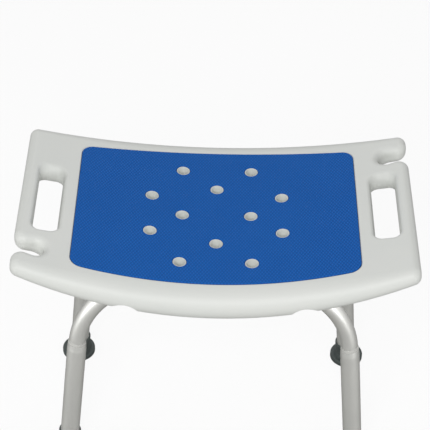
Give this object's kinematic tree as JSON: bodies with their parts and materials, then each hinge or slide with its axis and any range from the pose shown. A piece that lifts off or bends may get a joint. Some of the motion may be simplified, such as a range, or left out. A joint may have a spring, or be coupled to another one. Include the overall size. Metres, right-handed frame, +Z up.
{
  "type": "shower stool",
  "caption": "Backless shower stool with a dished moulded seat, foam pad, hand grips and hose notches, on bent tubes with height-adjustable legs and rubber feet.",
  "frame": {"origin": "on the floor below the middle of the seat, with the legs at their lowest setting", "axes": "+X along the seat to the right of a viewer in front, +Y from front to rear, +Z up"},
  "size_m": [0.5, 0.31, 0.3834],
  "materials": {
    "seat_plastic": "satin moulded",
    "pad_foam": "embossed closed-cell foam",
    "tube_aluminium": "satin anodised",
    "foot_rubber": "matt moulded",
    "button_steel": "plated",
    "fastener_steel": "zinc plated",
    "insert_brass": "knurled"
  },
  "bodies": {
    "seat_frame": {"seat": "seat_plastic", "seat_pad": "pad_foam", "front_frame": "tube_aluminium", "rear_frame": "tube_aluminium", "frame_screws": "fastener_steel", "saddle_washers": "fastener_steel", "threaded_inserts": "insert_brass", "front_left_snap_spring": "button_steel", "front_right_snap_spring": "button_steel", "rear_left_snap_spring": "button_steel", "rear_right_snap_spring": "button_steel"},
    "front_left_leg": {"front_left_leg": "tube_aluminium", "front_left_foot": "foot_rubber", "front_left_foot_washer": "fastener_steel"},
    "front_left_button": {"front_left_snap_button": "button_steel"},
    "front_right_leg": {"front_right_leg": "tube_aluminium", "front_right_foot": "foot_rubber", "front_right_foot_washer": "fastener_steel"},
    "front_right_button": {"front_right_snap_button": "button_steel"},
    "rear_left_leg": {"rear_left_leg": "tube_aluminium", "rear_left_foot": "foot_rubber", "rear_left_foot_washer": "fastener_steel"},
    "rear_left_button": {"rear_left_snap_button": "button_steel"},
    "rear_right_leg": {"rear_right_leg": "tube_aluminium", "rear_right_foot": "foot_rubber", "rear_right_foot_washer": "fastener_steel"},
    "rear_right_button": {"rear_right_snap_button": "button_steel"}
  },
  "joints": [
    {"name": "front_left_leg_slide", "type": "slide", "parent": "seat_frame", "child": "front_left_leg", "axis": [-0.0934, -0.0707, -0.9931], "range_m": [0, 0.125], "deforming": ["front_left_snap_button"]},
    {"name": "front_left_button_press", "type": "slide", "parent": "seat_frame", "child": "front_left_button", "axis": [0.0066, -0.9975, 0.0704], "range_m": [0, 0.0043], "stiffness_N_per_m": 1500, "deforming": ["front_left_snap_spring"]},
    {"name": "front_right_leg_slide", "type": "slide", "parent": "seat_frame", "child": "front_right_leg", "axis": [0.0934, -0.0707, -0.9931], "range_m": [0, 0.125], "deforming": ["front_right_snap_button"]},
    {"name": "front_right_button_press", "type": "slide", "parent": "seat_frame", "child": "front_right_button", "axis": [-0.0066, -0.9975, 0.0704], "range_m": [0, 0.0043], "stiffness_N_per_m": 1500, "deforming": ["front_right_snap_spring"]},
    {"name": "rear_left_leg_slide", "type": "slide", "parent": "seat_frame", "child": "rear_left_leg", "axis": [-0.0934, 0.0707, -0.9931], "range_m": [0, 0.125], "deforming": ["rear_left_snap_button"]},
    {"name": "rear_left_button_press", "type": "slide", "parent": "seat_frame", "child": "rear_left_button", "axis": [-0.0066, -0.9975, -0.0704], "range_m": [0, 0.0043], "stiffness_N_per_m": 1500, "deforming": ["rear_left_snap_spring"]},
    {"name": "rear_right_leg_slide", "type": "slide", "parent": "seat_frame", "child": "rear_right_leg", "axis": [0.0934, 0.0707, -0.9931], "range_m": [0, 0.125], "deforming": ["rear_right_snap_button"]},
    {"name": "rear_right_button_press", "type": "slide", "parent": "seat_frame", "child": "rear_right_button", "axis": [0.0066, -0.9975, -0.0704], "range_m": [0, 0.0043], "stiffness_N_per_m": 1500, "deforming": ["rear_right_snap_spring"]}
  ]
}
